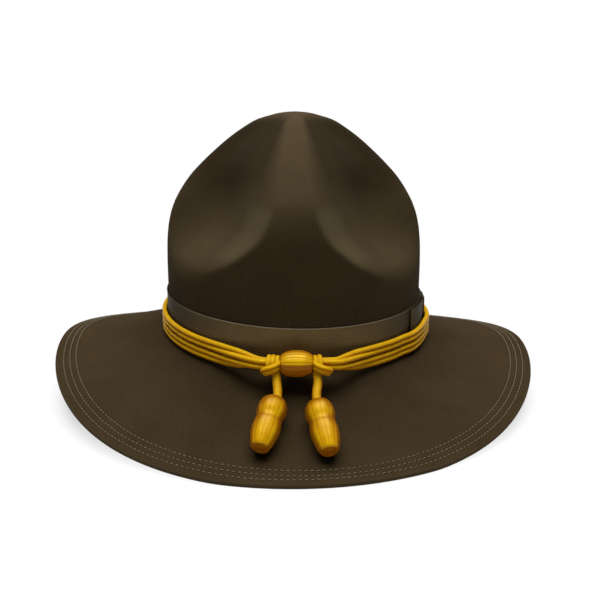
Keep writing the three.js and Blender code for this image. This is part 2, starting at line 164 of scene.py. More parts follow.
# How far the cord is pushed out by the bow and its keeper
BOW_MIDDLE = (BOW_FRONT_ANGLE + BOW_BACK_ANGLE) / 2
BOW_BUMP = {
    "angle": [BOW_FRONT_ANGLE - 9, BOW_FRONT_ANGLE - 1, BOW_FRONT_ANGLE + 14, BOW_MIDDLE - 6,
              BOW_MIDDLE + 6, BOW_BACK_ANGLE - 14, BOW_BACK_ANGLE + 1, BOW_BACK_ANGLE + 9],
    "out": [0, 1.9, 1.9, 3.1, 3.1, 1.9, 1.9, 0],
}

# Strands: name, pair, and whether it is the pair's outer one at the front
STRANDS = [
    ("cord_strand_top", 1, -1),
    ("cord_strand_upper", 1, 1),
    ("cord_strand_lower", -1, 1),
    ("cord_strand_bottom", -1, -1),
]

# Drops: side, its direction, where the drop leaves the knot, then the degrees of the acorn's top
# and end, and their distances down the brim
DROPS = [
    ("left", -1, -10.4, -5.3, -7.0, 25.8, 60.5),
    ("right", 1, 12.9, 6.3, 7.0, 27.6, 62.0),
]

# How many upright turns each knot has, and their middle measured towards the slide
KNOT_TURNS = {"left": (3, 0.9), "right": (2, 2.3)}

# Their radius from the outer turn to the one by the slide
TURN_RADIUS = {"share": [0, 0.55, 0.75, 1], "radius": [4.15, 4.15, 3.75, 3.6]}

# The two slanting wraps of a knot: towards the slide, back towards the crown, and up
KNOT_WRAPS = [
    {
        "inward": [4.0, 4.3, 3.7, 1.6, -1.2, -3.3, -4.5, -4.6, -3.8, -2.6],
        "back": [-1.6, -3.9, -5.3, -6.2, -6.2, -5.2, -3.4, -1.2, 1.6, 3.6],
        "up": [1.9, 1.8, 1.3, 0.4, -0.6, -1.6, -2.8, -4.2, -4.6, -3.4],
    },
    {
        "inward": [4.0, 4.2, 3.5, 1.3, -1.0, -2.6, -3.2, -2.8, -2.0, -1.2],
        "back": [-1.4, -3.4, -4.9, -5.8, -5.7, -4.6, -2.4, 0.8, 3.2, 4.4],
        "up": [-0.7, -0.9, -1.4, -2.3, -3.3, -4.2, -5.0, -5.2, -4.0, -1.5],
    },
]

# A direction that no strand of a knot runs along, from which its tubes take their roundness
KNOT_REFERENCE = np.array([0.25, 0.35, 0.9])

# How far to the right of its acorn's middle each drop goes in
DROP_ASIDE = {"left": 1.2, "right": -0.3}

# A drop's way: inside its knot, at a bend and at an arch, each at a share of the way down
DROP_START = np.array([0, -0.6, 2.6])
DROP_BEND_AT = 0.32
DROP_BEND = np.array([0.6, -1.0, 0.7])
DROP_ARCH_AT = 0.75
DROP_ARCH = np.array([0, 0, 1.0])
DROP_SINK = 0.8

# The rim at the slide's end: how far out, and its radius
SLIDE_RIM = [[-0.1, SLIDE_END_RADIUS - 0.35], [0.0, SLIDE_END_RADIUS - 0.8], [-0.4, BORE_RADIUS]]

# Half outline of an acorn: its mouth in millimetres, then shares of its length and of its radius
ACORN_MOUTH = [[3.0, 0.0], [2.4, 1.6], [1.2, 2.2], [0.4, 2.6]]
ACORN_PROFILE = {
    "along": [0.0, 0.02, 0.06, 0.14, 0.2, 0.26, 0.32, 0.37,
              0.41, 0.45, 0.51, 0.62, 0.78, 0.9, 0.965, 0.995],
    "radius": [0.5, 0.7, 0.86, 1.0, 1.04, 1.05, 1.01, 0.94,
               0.9, 0.905, 0.96, 1.0, 0.915, 0.78, 0.68, 0.58],
}
ACORN_END = [
    [1.0, 0.5], [0.998, 0.44], [0.986, 0.38], [0.984, 0.3],
    [0.992, 0.24], [1.0, 0.16], [1.003, 0.0],
]

FIRST_SECTION = CROWN_SECTIONS["height"][0]
LAST_SECTION = CROWN_SECTIONS["height"][-1]

# Painted shade in the dents and on the flanks, and painted light at the front creases: their
# strengths, then where each mark comes or goes, in shares of the crown's height, in degrees from
# the front or the back, and in degrees from the crease
FLANK_SHADE_STRENGTH = 0.85
PEAK_SHADE_STRENGTH = 0.45
BROAD_LIGHT_STRENGTH = 0.24
PAINTED_MARK_HEIGHTS = {
    "dents": (0.57, 0.74),
    "flanks": (0.63, 0.76),
    "peak": (0.72, 0.84),
    "below_top": (1.0, 0.95),
    "crease_foot": (0.37, 0.46),
    "crease_head": (0.7, 0.59),
    "beside": (0.3, 0.42),
    "above": (0.47, 0.6),
}
FLANK_DEGREES = (7.0, 23.0)
CREASE_NEAR = (-1.5, 2.0)
CREASE_FAR = (24.0, 4.0)
CREASE_BESIDE = (-2.0, 4.0)

# Distance from the brim's edge that the crown is given, where nothing of the edge shows
CROWN_INSET = 60.0

# How finely pieces are divided
STRAND_SIDES = 20
DROP_SIDES = 28
FRONT_STEPS = 17
ROUND_STEPS = 419
TURN_STEPS = 70
DROP_STEPS = 40
FELT_COLUMNS = 320
DOME_RINGS = 9
DENT_RINGS = 62
BRIM_RINGS = 41
RIBBON_COLUMNS = 288

# Rounded end of a tube: how far out and how wide each ring is, in shares of the tube's radius
TUBE_END = [(0.3, 0.7), (0.35, 0.0)]

# Ridges of the wound floss: depth in millimetres, roundness, and the radius under which they fade
SLIDE_RIDGES = 16
SLIDE_RIDGE_DEPTH = 0.12
ACORN_RIDGES = 10
ACORN_RIDGE_DEPTH = 0.16
RIDGE_ROUNDNESS = 0.7
RIDGE_FADE = 3.0

# How far up a face of the gold looks where the painted shade on its under side begins, and where it
# is full
CORD_SHADE_SPAN = (0.38, -0.2)
SLIDE_SHADE_SPAN = (0.34, 0.17)

# Camera, floor and light, in metres and degrees
CAMERA_LENS = 47.59
CAMERA_SENSOR = 36
CAMERA_PLACE = (0, -0.5414, 0.1963)
CAMERA_TILT = 75.183
CAMERA_TURN = -0.462
FLOOR_SIZE = 12
FLOOR_COLOUR = (0.86, 0.86, 0.85, 1)
FLOOR_FADE = (0.12, 0.185)
WHITE = (1, 1, 1, 1)
ROOM_STRENGTH = 0.07
LAMP_SIZE = 0.85
LAMP_ENERGY = 17
LAMP_PLACE = (0, 0.06, 0.84)


# Tables and curves

def lengths_along(points):
    """How far along a path each of its points is."""
    return np.concatenate([[0], np.cumsum(np.linalg.norm(np.diff(points, axis=0), axis=1))])


def looped(points):
    """The points, and the first one once more."""
    return np.concatenate([points, points[:1]])


def full_circle(steps):
    """Angles all the way round, of which the last is the first one again."""
    turn = np.linspace(0, 2 * np.pi, steps + 1)
    turn[-1] = 0
    return turn


def smooth_step(start, end, value):
    share = np.clip((value - start) / (end - start), 0, 1)
    return share * share * (3 - 2 * share)


def between(first, second, leaving, arriving, span, t):
    """A cubic curve from one value to the next, with a slope at each end."""
    ends = first * (1 + 2 * t) * (1 - t) ** 2 + second * t * t * (3 - 2 * t)
    return ends + span * (leaving * t * (1 - t) ** 2 + arriving * t * t * (t - 1))


def read_table(table, key, column, value):
    """Smooth interpolation of one column of a table, without overshoot."""
    x = np.array(table[key], float)
    y = np.array(table[column], float)
    slope = np.diff(y) / np.diff(x)
    tangent = np.concatenate([slope[:1], np.zeros(len(x) - 2), slope[-1:]])
    before, after = slope[:-1], slope[1:]
    same = before * after > 0
    tangent[1:-1][same] = 2 * before[same] * after[same] / (before[same] + after[same])
    at = np.clip(value, x[0], x[-1])
    i = np.clip(np.searchsorted(x, at, side="right") - 1, 0, len(x) - 2)
    span = x[i + 1] - x[i]
    return between(y[i], y[i + 1], tangent[i], tangent[i + 1], span, (at - x[i]) / span)


def smooth_path(points, count):
    """Evenly spaced points of a smooth curve through a few given ones."""
    given = np.array(points, float)
    chord = lengths_along(given)
    tangent = np.gradient(given, chord, axis=0)
    at = np.linspace(0, chord[-1], count)
    i = np.clip(np.searchsorted(chord, at, side="right") - 1, 0, len(chord) - 2)
    span = (chord[i + 1] - chord[i])[:, None]
    t = (at - chord[i])[:, None] / span
    return between(given[i], given[i + 1], tangent[i], tangent[i + 1], span, t)


def unit(vectors):
    return vectors / np.linalg.norm(vectors, axis=-1, keepdims=True)


# The hat's form. Angles run from the front, positive to the viewer's right.

def oval_point(angle):
    return np.stack([CROWN_HALF_WIDTH * np.sin(angle), -CROWN_HALF_LENGTH * np.cos(angle)], -1)


def oval_normal(angle):
    slopes = [np.sin(angle) / CROWN_HALF_WIDTH, -np.cos(angle) / CROWN_HALF_LENGTH]
    return unit(np.stack(slopes, -1))


def break_level(angle):
    return -BREAK_DIP * np.cos(angle) ** 2 + SIDE_LEAN * CROWN_HALF_WIDTH * np.sin(angle)


def front_share(angle):
    return np.abs(oval_normal(angle)[..., 1]) ** (2 * FRONT_REACH)


def brim_width(angle):
    share = front_share(angle)
    return BRIM_FRONT_WIDTH * share + BRIM_SIDE_WIDTH * (1 - share)


def brim_point(angle, distance):
    """Upper face of the brim at a distance along the felt from the break."""
    share = front_share(angle)
    start = np.radians(FRONT_SLOPE_START * share + SIDE_SLOPE_START * (1 - share))
    edge = np.radians(FRONT_SLOPE_EDGE * share + SIDE_SLOPE_EDGE * (1 - share))
    turn = (edge - start) / brim_width(angle)
    slope = start + turn * distance
    out = (np.sin(slope) - np.sin(start)) / turn
    drop = (np.cos(start) - np.cos(slope)) / turn
    drop = drop + CORNER_DROP * (1 - np.cos(4 * angle)) * out / (2 * BRIM_SIDE_WIDTH)
    plan = oval_point(angle) + oval_normal(angle) * np.asarray(out)[..., None]
    return np.concatenate([plan, np.asarray(break_level(angle) - drop)[..., None]], -1)


LOWEST_EDGE = brim_point(np.array(0.0), BRIM_FRONT_WIDTH)[2]
FLOOR_LIFT = FELT_THICKNESS - LOWEST_EDGE - REST_FLATTENING
FRONT_Z = FRONT_HEIGHT + FLOOR_LIFT


def lifted(points):
    """Heights from the floor, where the lowest parts of the brim settle flat."""
    raised = points.copy()
    raised[..., 2] = np.maximum(points[..., 2] + FLOOR_LIFT, FELT_THICKNESS)
    return raised


def crown_section(column, height):
    return read_table(CROWN_SECTIONS, "height", column, height)


def off_middle(angle):
    """Degrees from the front or the back, whichever is nearer."""
    return np.degrees(np.arcsin(np.minimum(1, np.abs(np.sin(angle)))))


def dent_share(angle, height):
    """0 on the ridges and 1 in the middle of a dent, which is sharp in front and soft beside."""
    from_front = off_middle(angle)
    by_side = from_front > VALLEY_ANGLE
    from_ridge = np.where(by_side, 90 - from_front, from_front)
    reach = np.where(by_side, 90 - VALLEY_ANGLE, VALLEY_ANGLE)
    softness = np.where(by_side, SIDE_SOFTNESS, FRONT_SOFTNESS)
    flat, fullness = (np.where(by_side, crown_section("side_" + kind, height),
                               crown_section("front_" + kind, height))
                      for kind in ("flat", "fullness"))
    into = np.clip((from_ridge - flat) / (reach - flat), 0, 1)
    into = into ** 2 * (1 + softness) / (into + softness)
    return 1 - (1 - into) ** fullness


def crown_point(angle, height):
    """Outer face of the crown at a share of its height."""
    ridge = (crown_section("side", height) * np.sin(angle) ** 2
             + crown_section("front", height) * np.cos(angle) ** 2)
    share = ridge - (ridge - crown_section("valley", height)) * dent_share(angle, height)
    share = share * np.sqrt(np.minimum(1, (1 - height) / (1 - LAST_SECTION)))
    plan = oval_point(angle) * share[..., None]
    plan = plan + np.stack([CROWN_LEAN * height ** 2, 0 * height], -1)
    level = height * CROWN_HEIGHT + break_level(angle) * (1 - height)
    return np.concatenate([plan, np.broadcast_to(level, angle.shape)[..., None]], -1)


def fillet_point(angle, t):
    """The rounding between the wall, where t is 0, and the brim, where it is 1."""
    corner = np.concatenate([oval_point(angle), break_level(angle)[..., None]], -1)
    top = corner + FILLET_RISE * UP
    foot = brim_point(angle, FILLET_RISE)
    return top * (1 - t) ** 2 + corner * 2 * t * (1 - t) + foot * t * t


def wall_point(angle, out, up):
    """A place beside the crown's wall, out from the felt and up from the break."""
    plan = oval_point(angle) + oval_normal(angle) * np.asarray(out)[..., None]
    level = break_level(angle) * (1 - up / CROWN_HEIGHT) + up + FLOOR_LIFT
    return np.concatenate([plan, np.broadcast_to(level, plan.shape[:-1])[..., None]], -1)


# Mesh helpers

def deselect():
    bpy.ops.object.select_all(action="DESELECT")


def select_only(piece):
    deselect()
    piece.select_set(True)
    bpy.context.view_layer.objects.active = piece


def name_piece(piece, name):
    piece.name = name
    piece.data.name = name


def vertex_values(piece, key):
    """The place or the normal of each of a piece's vertices."""
    values = np.zeros(len(piece.data.vertices) * 3)
    piece.data.vertices.foreach_get(key, values)
    return values.reshape(-1, 3)


def place_vertices(piece, points):
    piece.data.vertices.foreach_set("co", points.ravel())
    piece.data.update()


def shaped_grid(name, points, uv_size=(1, 1), attributes=None):
    """A grid of faces whose points are moved to their places and sewn where its edges meet."""
    rows, columns = points.shape[:2]
    deselect()
    bpy.ops.mesh.primitive_grid_add(x_subdivisions=columns - 1, y_subdivisions=rows - 1,
                                    size=1, calc_uvs=True)
    piece = bpy.context.object
    name_piece(piece, name)
    place_vertices(piece, points * MM)
    layer = piece.data.uv_layers.active
    layer.name = "UVMap"
    corners = np.zeros(len(layer.data) * 2)
    layer.data.foreach_get("uv", corners)
    corners = corners.reshape(-1, 2) * np.array(uv_size)
    layer.data.foreach_set("uv", corners.ravel())
    for key, values in (attributes or {}).items():
        made = piece.data.attributes.new(key, "FLOAT", "POINT")
        made.data.foreach_set("value", np.asarray(values, np.float32).ravel())
    sew(piece)
    return piece


def sew(piece):
    """Merges points that meet and turns the faces outwards."""
    select_only(piece)
    bpy.ops.object.mode_set(mode="EDIT")
    bpy.ops.mesh.select_all(action="SELECT")
    bpy.ops.mesh.remove_doubles(threshold=SEWING_DISTANCE)
    bpy.ops.mesh.normals_make_consistent(inside=False)
    bpy.ops.object.mode_set(mode="OBJECT")
    bpy.ops.object.shade_smooth()


def apply_modifier(piece, kind, **settings):
    select_only(piece)
    made = piece.modifiers.new(kind.lower(), kind)
    for key, value in settings.items():
        setattr(made, key, value)
    bpy.ops.object.modifier_apply(modifier=made.name)


def joined(name, pieces):
    deselect()
    for piece in pieces:
        piece.select_set(True)
    bpy.context.view_layer.objects.active = pieces[0]
    bpy.ops.object.join()
    name_piece(pieces[0], name)
    return pieces[0]


def end_rings(place, outwards, ring, radius):
    """Rings that close a tube's end, each further out and narrower."""
    return np.array([place + (ring - place) * width + outwards * radius * reach
                     for reach, width in TUBE_END])


def tube(name, path, radius, sides, reference, closed):
    """A round cord along a path of points, with rounded ends where it is open."""
    path = np.asarray(path, float)
    if closed:
        before, after = np.roll(path, 1, axis=0), np.roll(path, -1, axis=0)
    else:
        before = np.concatenate([path[:1], path[:-1]])
        after = np.concatenate([path[1:], path[-1:]])
    along = unit(after - before)
    across = unit(np.cross(along, reference))
    upward = np.cross(across, along)
    turn = full_circle(sides)[None, :, None]
    round_out = across[:, None] * np.cos(turn) + upward[:, None] * np.sin(turn)
    rings = path[:, None] + round_out * radius
    if closed:
        rings = looped(rings)
        path = looped(path)
    else:
        start = end_rings(path[0], -along[0], rings[0], radius)
        end = end_rings(path[-1], along[-1], rings[-1], radius)
        rings = np.concatenate([start[::-1], rings, end])
    return shaped_grid(name, rings, uv_size=(1, lengths_along(path)[-1]))


def turned(name, outline, ridges, ridge_depth, sides_per_ridge):
    """A piece turned about X from an outline of (along, radius), with fine ridges along it."""
    turn = full_circle(ridges * sides_per_ridge)
    ridge = np.abs(np.sin(turn * ridges / 2)) ** RIDGE_ROUNDNESS
    fade = np.clip(outline[:, 1:2] / RIDGE_FADE, 0, 1)
    radius = outline[:, 1:2] - ridge_depth * fade * (1 - ridge)[None, :]
    along = np.broadcast_to(outline[:, :1], radius.shape)
    points = np.stack([along, radius * np.cos(turn), radius * np.sin(turn)], -1)
    return shaped_grid(name, points, uv_size=(1, lengths_along(outline)[-1]))


def move_piece(piece, place, along):
    """Puts a piece that was made along X at its place, pointing along a direction."""
    across = unit(np.cross(along, NEARLY_X)) if abs(along[0]) < 0.99 else ALONG_Y
    upward = np.cross(along, across)
    points = vertex_values(piece, "co")
    points = points[:, :1] * along + points[:, 1:2] * across + points[:, 2:] * upward
    place_vertices(piece, points + place * MM)


# Camera

def add_camera():
    data = bpy.data.cameras.new("photo_camera")
    data.lens = CAMERA_LENS
    data.sensor_width = CAMERA_SENSOR
    data.clip_start = 0.01
    camera = bpy.data.objects.new("photo_camera", data)
    camera.location = CAMERA_PLACE
    camera.rotation_euler = (math.radians(CAMERA_TILT), 0, math.radians(CAMERA_TURN))
    bpy.context.scene.collection.objects.link(camera)
    bpy.context.scene.camera = camera


# Cord

def cord_station(degrees):
    """Middle of the bundle at signed degrees from the front, its outward direction and spread."""
    away = abs(degrees)
    if away <= FRONT_ANGLE:
        x = SLIDE_OFFSET + FRONT_HALF_RUN * degrees / FRONT_ANGLE
        return np.array([x, FRONT_RUN, FRONT_Z]), np.array([0.0, -1.0, 0.0]), 0.0
    angle = np.radians(degrees)
    bump = read_table(BOW_BUMP, "angle", "out", degrees)
    out, up, spread = (read_table(CORD_ROUTE, "angle", column, away)
                       for column in ("out", "up", "spread"))
    middle = wall_point(angle, out + bump, up)
    middle[0] += SLIDE_OFFSET * max(0, 1 - (away - FRONT_ANGLE) / OFFSET_FADE)
    return middle, np.append(oval_normal(angle), 0), float(spread)


def strand_middle(pair, outer, degrees):
    """A pair's strands lie side by side at the front and turn to lie one above the other."""
    middle, outward, spread = cord_station(degrees)
    turn = spread * math.pi / 2
    tight = STRAND_PITCH / 2
    out = outer * tight * math.cos(turn)
    up = pair * (tight + math.sin(turn) * (tight + PAIR_GAP / 2 - outer * tight))
    return middle + outward * out + UP * up


def strand_path(pair, outer):
    """A strand's closed way round the crown, evened out a little."""
    degrees = np.concatenate([
        np.linspace(-FRONT_ANGLE, FRONT_ANGLE, FRONT_STEPS, endpoint=False),
        np.linspace(FRONT_ANGLE, 360 - FRONT_ANGLE, ROUND_STEPS, endpoint=False),
    ])
    degrees = np.where(degrees > 180, degrees - 360, degrees)
    path = np.array([strand_middle(pair, outer, d) for d in degrees])
    for _ in range(3):
        path = (np.roll(path, 1, axis=0) + 2 * path + np.roll(path, -1, axis=0)) / 4
    return path


def cord_strands():
    radius = (STRAND_DIAMETER + STRAND_LOOSENESS) / 2
    for name, pair, outer in STRANDS:
        piece = tube(name + "_laid", strand_path(pair, outer), radius, STRAND_SIDES, UP, True)
        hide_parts(name)
        finish_piece(piece, "gold_cord", laid_cord)


def upright_turns(count, middle):
    """Turns round the bundle, side by side, with their ends at the back."""
    turn = np.linspace(0, 2 * np.pi * count, TURN_STEPS * count)
    share = turn / turn[-1]
    radius = read_table(TURN_RADIUS, "share", "radius", share)
    inward = middle + TURN_PITCH * count * (share - 0.5)
    return np.stack([inward, radius * np.cos(turn), -radius * np.sin(turn) * TURN_FLATNESS], -1)


def knots():
    """Upright turns round the strands, and two wraps in front that slant down and outwards."""
    for side, direction, *_ in DROPS:
        middle = SLIDE_OFFSET + direction * (SLIDE_LENGTH / 2 + PART_GAP + KNOT_WIDTH / 2)
        place = np.array([middle, FRONT_RUN, FRONT_Z])
        paths = [upright_turns(*KNOT_TURNS[side])]
        for wrap in KNOT_WRAPS:
            points = np.stack([wrap["inward"], wrap["back"], wrap["up"]], -1)
            paths.append(smooth_path(points, TURN_STEPS))
        coils = []
        for path in paths:
            path = path * np.array([-direction, 1, 1]) + place
            coils.append(tube("coil", path, KNOT_STRAND / 2, STRAND_SIDES, KNOT_REFERENCE, False))
        piece = joined(f"knot_{side}_wound", coils)
        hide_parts(f"knot_{side}")
        finish_piece(piece, "gold_cord", laid_cord)


def above_brim(degrees, distance, height):
    """A place over the brim, at a height square to its face."""
    angle = np.radians(degrees)
    point = brim_point(angle, distance)
    along = brim_point(angle, distance + 1) - brim_point(angle, distance - 1)
    around = brim_point(angle + 0.01, distance) - brim_point(angle - 0.01, distance)
    return lifted(point) + unit(np.cross(along, around)) * height


def acorn_ends(drop):
    """Where an acorn's top is, and the direction in which it points."""
    _, _, _, top_angle, end_angle, top_distance, end_distance = drop
    top = above_brim(top_angle, top_distance, ACORN_TOP_LIFT)
    end = above_brim(end_angle, end_distance, ACORN_END_LIFT)
    return top, unit(end - top)


def drops():
    for drop in DROPS:
        side, _, knot_x = drop[:3]
        aside = DROP_ASIDE[side] * ALONG_X
        top, along = acorn_ends(drop)
        knot_bottom = np.array([knot_x, FRONT_RUN, FRONT_Z - KNOT_RADIUS - PART_GAP])
        way = top - knot_bottom
        path = smooth_path([
            knot_bottom + DROP_START,
            knot_bottom + way * DROP_BEND_AT + DROP_BEND,
            knot_bottom + way * DROP_ARCH_AT + DROP_ARCH + aside,
            top + along * DROP_SINK + aside,
        ], DROP_STEPS)
        piece = tube(f"drop_{side}_braided", path, DROP_DIAMETER / 2, DROP_SIDES, ALONG_X, False)
        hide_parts(f"drop_{side}")
        finish_piece(piece, "gold_cord", braided_cord)


def slide():
    half = SLIDE_LENGTH / 2
    share = np.linspace(-1, 1, 31)
    swell = (SLIDE_RADIUS - SLIDE_END_RADIUS) * (1 - np.abs(share) ** SLIDE_FULLNESS)
    barrel = np.stack([share * (half - SLIDE_LIP), SLIDE_END_RADIUS + swell], -1)
    lip = np.array(SLIDE_RIM) + np.array([half, 0])
    outline = looped(np.concatenate([barrel, lip, lip[::-1] * np.array([-1, 1])]))
    piece = turned("cord_slide_floss", outline, SLIDE_RIDGES, SLIDE_RIDGE_DEPTH, 20)
    move_piece(piece, np.array([SLIDE_OFFSET, FRONT_RUN, FRONT_Z]), ALONG_X)
    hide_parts("cord_slide")
    finish_piece(piece, "gold_floss", slide_floss, SLIDE_SHADE_SPAN)


def acorns():
    share = np.concatenate([np.linspace(0, 0.9, 46), np.linspace(0.915, 0.995, 8)])
    side_face = np.stack([share, read_table(ACORN_PROFILE, "along", "radius", share)], -1)
    body = np.concatenate([side_face, ACORN_END]) * np.array([ACORN_LENGTH, ACORN_RADIUS])
    outline = np.concatenate([ACORN_MOUTH, body])
    for drop in DROPS:
        side = drop[0]
        top, along = acorn_ends(drop)
        piece = turned(f"acorn_{side}_floss", outline, ACORN_RIDGES, ACORN_RIDGE_DEPTH, 24)
        move_piece(piece, top, along)
        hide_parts(f"acorn_{side}")
        finish_piece(piece, "gold_floss", acorn_floss)


# Felt

def painted_felt_marks(angles, height):
    """Painted shade in the dents and on the flanks, and painted light along and above the creases.
    """
    at = {mark: smooth_step(*span, height) for mark, span in PAINTED_MARK_HEIGHTS.items()}
    from_front = off_middle(angles)
    from_crease = from_front - crown_section("front_flat", height)
    # Painted shade: darker in the dents and on the flanks beside the front ridge, most near the
    # peak
    shade_in_dents = dent_share(angles, np.full_like(angles, height)) * at["dents"]
    shade_on_flanks = FLANK_SHADE_STRENGTH * smooth_step(*FLANK_DEGREES, from_front) * at["flanks"]
    painted_shade = np.maximum(shade_in_dents, shade_on_flanks) * (1 + PEAK_SHADE_STRENGTH * at["peak"]) * at["below_top"]
    # Painted highlight: a thin light line along each front crease, with painted light beside and
    # above it
    crease_highlight = smooth_step(*CREASE_NEAR, from_crease) * smooth_step(*CREASE_FAR, from_crease)
    crease_highlight = crease_highlight * at["crease_foot"] * at["crease_head"]
    broad_light = np.maximum(smooth_step(*CREASE_BESIDE, from_crease) * at["beside"], at["above"])
    painted_light = np.maximum(BROAD_LIGHT_STRENGTH * broad_light * np.maximum(0, 1 - painted_shade), crease_highlight)
    return painted_shade, painted_light


def felt_rings():
    """Rings of the outer face from peak to edge, with their distance from the edge and painted
    shading.
    """
    angles = full_circle(FELT_COLUMNS)
    dome = 1 - (1 - LAST_SECTION) * np.linspace(0, 0.93, DOME_RINGS) ** 2
    dense = np.linspace(LAST_SECTION, FIRST_SECTION, 600)
    half_length = crown_section("valley", dense) * CROWN_HALF_LENGTH
    length = lengths_along(np.stack([half_length, dense * CROWN_HEIGHT], -1))
    dents = np.interp(np.linspace(0, length[-1], DENT_RINGS), length, dense)
    crown_heights = [*dome, *dents]
    rings = [crown_point(angles, np.full_like(angles, height)) for height in crown_heights]
    painted_marks = [painted_felt_marks(angles, height) for height in crown_heights]
    for up in np.linspace(FIRST_SECTION * CROWN_HEIGHT, FILLET_RISE, 9)[1:-1]:
        ring = wall_point(angles, np.zeros_like(angles), up)
        ring[:, 2] -= FLOOR_LIFT
        rings.append(ring)
    rings += [fillet_point(angles, t) for t in np.linspace(0, 1, 6)]
    inset = [np.full_like(angles, CROWN_INSET) for _ in rings]
    widths = brim_width(angles)
    for share in np.linspace(0, 1, BRIM_RINGS + 1)[1:]:
        distance = FILLET_RISE + (widths - FILLET_RISE) * share
        rings.append(brim_point(angles, distance))
        inset.append(widths - distance)
    no_painted_marks = (np.zeros_like(angles), np.zeros_like(angles))
    painted_marks += [no_painted_marks] * (len(rings) - len(painted_marks))
    painted_shade, painted_light = np.array(painted_marks).transpose(1, 0, 2)
    return lifted(np.array(rings)), {"inset": np.array(inset), "painted_shade": painted_shade, "painted_light": painted_light}


def felt_body():
    rings, attributes = felt_rings()
    piece = shaped_grid("felt_hat", rings, attributes=attributes)
    if piece.data.polygons[0].normal.z < 0:
        piece.data.flip_normals()
    apply_modifier(piece, "SOLIDIFY", thickness=FELT_THICKNESS * MM, offset=-1, use_rim=True)
    apply_modifier(piece, "BEVEL", width=EDGE_ROUNDING * MM, segments=3, limit_method="ANGLE",
                   angle_limit=math.radians(55))
    points = vertex_values(piece, "co")
    points[:, 2] = np.maximum(points[:, 2], 0)
    place_vertices(piece, points)
    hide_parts("felt_body")
    finish_piece(piece, "felt", felt)


def stitch_shape():
    """One stitch as a thread that dips into the felt at both ends: points and faces."""
    rings, sides = 5, 6
    turn = np.linspace(0, 2 * np.pi, sides, endpoint=False)
    points, faces = [], []
    for i in range(rings):
        share = i / (rings - 1) * 2 - 1
        height = THREAD_RADIUS * (0.9 - 1.5 * share ** 4)
        radius = THREAD_RADIUS * (1 - 0.35 * share ** 4)
        for t in turn:
            points.append([share * STITCH_LENGTH / 2, radius * math.cos(t),
                           height + radius * math.sin(t)])
    for i in range(rings - 1):
        for j in range(sides):
            k = (j + 1) % sides
            faces.append([i * sides + j, (i + 1) * sides + j, (i + 1) * sides + k, i * sides + k])
    return np.array(points), faces


def stitch_frames(inset, under):
    """Places and directions of one row's stitches, on the upper or the under face."""
    def row(angle, outwards=0):
        return lifted(brim_point(angle, brim_width(angle) - inset + outwards))

    angles = np.linspace(0, 2 * np.pi, 2880, endpoint=False)
    length = lengths_along(looped(row(angles)))
    count = int(round(length[-1] / STITCH_PITCH))
    at = (np.arange(count) + (0.5 if under else 0)) * length[-1] / count
    angle = np.interp(at, length, np.append(angles, 2 * np.pi))
    middle = row(angle)
    along = unit(row(angle + 0.004) - row(angle - 0.004))
    normal = unit(np.cross(row(angle, 1) - row(angle, -1), along))
    if under:
        middle = middle - normal * FELT_THICKNESS
        middle[:, 2] = np.maximum(middle[:, 2], UNDER_STITCH_LIFT)
        normal = -normal
    return middle, along, np.cross(normal, along), normal


def stitches():
    """Rows of thread on both faces of the brim, except where its under side rests."""
    shape, shape_faces = stitch_shape()
    for under, name in ((False, "brim_stitches_top"), (True, "brim_stitches_under")):
        points, faces = [], []
        for inset in STITCH_INSETS:
            for place, along, across, normal in zip(*stitch_frames(inset, under)):
                if under and place[2] < RESTING_BELOW:
                    continue
                first = len(points) * len(shape)
                points.append(place + shape @ np.array([along, across, normal]))
                faces.extend([[first + corner for corner in face] for face in shape_faces])
        data = bpy.data.meshes.new(name)
        data.from_pydata((np.concatenate(points) * MM).tolist(), [], faces)
        piece = bpy.data.objects.new(name, data)
        bpy.context.scene.collection.objects.link(piece)
        sew(piece)
        finish_piece(piece, "felt", stitch_thread)


# Ribbon

def ribbon_section(thickness, half_height, count):
    """Closed outline of a ribbon lying upright: (out, up), with a raised thread at both edges."""
    up = np.linspace(-half_height, half_height, count)
    edge = np.clip((np.abs(up) - (half_height - SELVEDGE_WIDTH)) / SELVEDGE_RISE, 0, 1)
    past = (np.abs(up) - (half_height - RIBBON_ROUNDING)).clip(0) / RIBBON_ROUNDING
    rounding = np.sqrt(np.clip(1 - past ** 2, 0.05, 1))
    face = (thickness / 2 + SELVEDGE * edge) * rounding
    back = (thickness / 2) * rounding
    return looped(np.concatenate([np.stack([face, up], -1), np.stack([-back, up], -1)[::-1]]))


def ribbon_grid(name, rings, across):
    """A ribbon from its rings, with a UV map in millimetres."""
    points = np.array(rings)
    return shaped_grid(name, points, uv_size=(2 * across, lengths_along(points[:, 0])[-1]))


def ribbon_band():
    half = (RIBBON_TOP - RIBBON_BOTTOM) / 2
    section = ribbon_section(RIBBON_THICKNESS - SELVEDGE, half, 41)
    out = RIBBON_GAP + (RIBBON_THICKNESS - SELVEDGE) / 2 + section[:, 0]
    up = (RIBBON_TOP + RIBBON_BOTTOM) / 2 + section[:, 1]
    angles = full_circle(RIBBON_COLUMNS)
    rings = [wall_point(np.full(len(section), angle), out, up) for angle in angles]
    piece = ribbon_grid("ribbon_grosgrain", rings, RIBBON_TOP - RIBBON_BOTTOM)
    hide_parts("ribbon")
    finish_piece(piece, "ribbon", grosgrain)


def bow_loop():
    """The ribbon's closed way: along the outer ply, round the end fold and back behind it."""
    inner = RIBBON_FACE + BOW_GAP + BOW_PLY / 2
    outer = BOW_FACE - BOW_PLY / 2
    middle = (inner + outer) / 2
    reach = (outer - inner) / 2
    share = np.linspace(0, 1, 61)
    outer_ply = np.stack([share, np.full_like(share, outer)], -1)
    turn = np.linspace(np.pi / 2, -np.pi / 2, 9)[1:-1]
    fold = np.stack([1 + BOW_FOLD_REACH * np.cos(turn), middle + reach * np.sin(turn)], -1)
    inner_ply = np.stack([share[::-1], np.full_like(share, inner)], -1)
    other_fold = np.stack([-BOW_FOLD_REACH * np.cos(turn), middle - reach * np.sin(turn)], -1)
    return looped(np.concatenate([outer_ply, fold, inner_ply, other_fold]))


